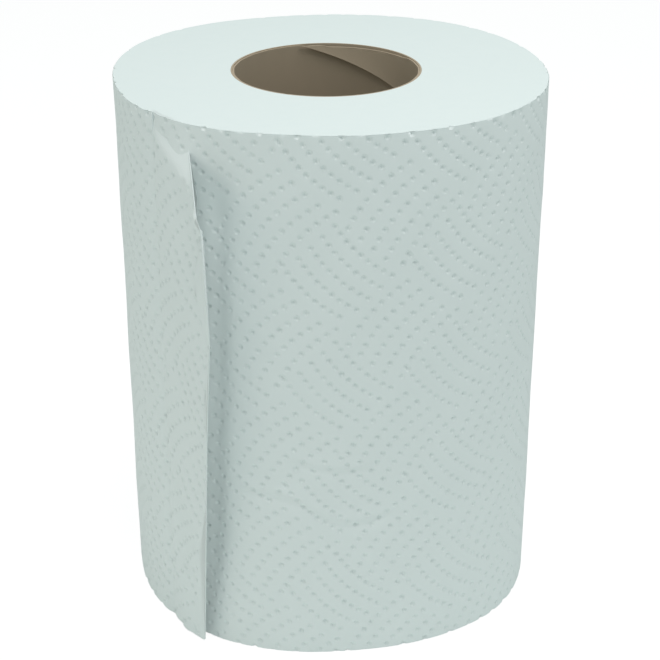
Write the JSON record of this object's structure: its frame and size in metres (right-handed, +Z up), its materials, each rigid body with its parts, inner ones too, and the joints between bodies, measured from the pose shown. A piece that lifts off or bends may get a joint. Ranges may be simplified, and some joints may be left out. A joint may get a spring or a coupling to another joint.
{
  "type": "paper towel roll",
  "caption": "Upright roll of embossed white paper towel wound on a spiral kraft core, with a torn loose tail standing off its side.",
  "frame": {"origin": "on the core's axis, in the plane of the end face that the roll stands on", "axes": "+Z up along the core's axis; -Y towards the side that shows the loose tail on its left; the web winds outward anticlockwise seen from above"},
  "size_m": [0.137, 0.1404, 0.175],
  "materials": {
    "towel_paper": "soft matte, embossed with dimples in woven blocks of curved rows",
    "core_kraft": "matte unbleached kraft board"
  },
  "bodies": {
    "root": {"paper_roll": "towel_paper", "core_inner_ply": "core_kraft", "core_outer_ply": "core_kraft"}
  },
  "joints": []
}
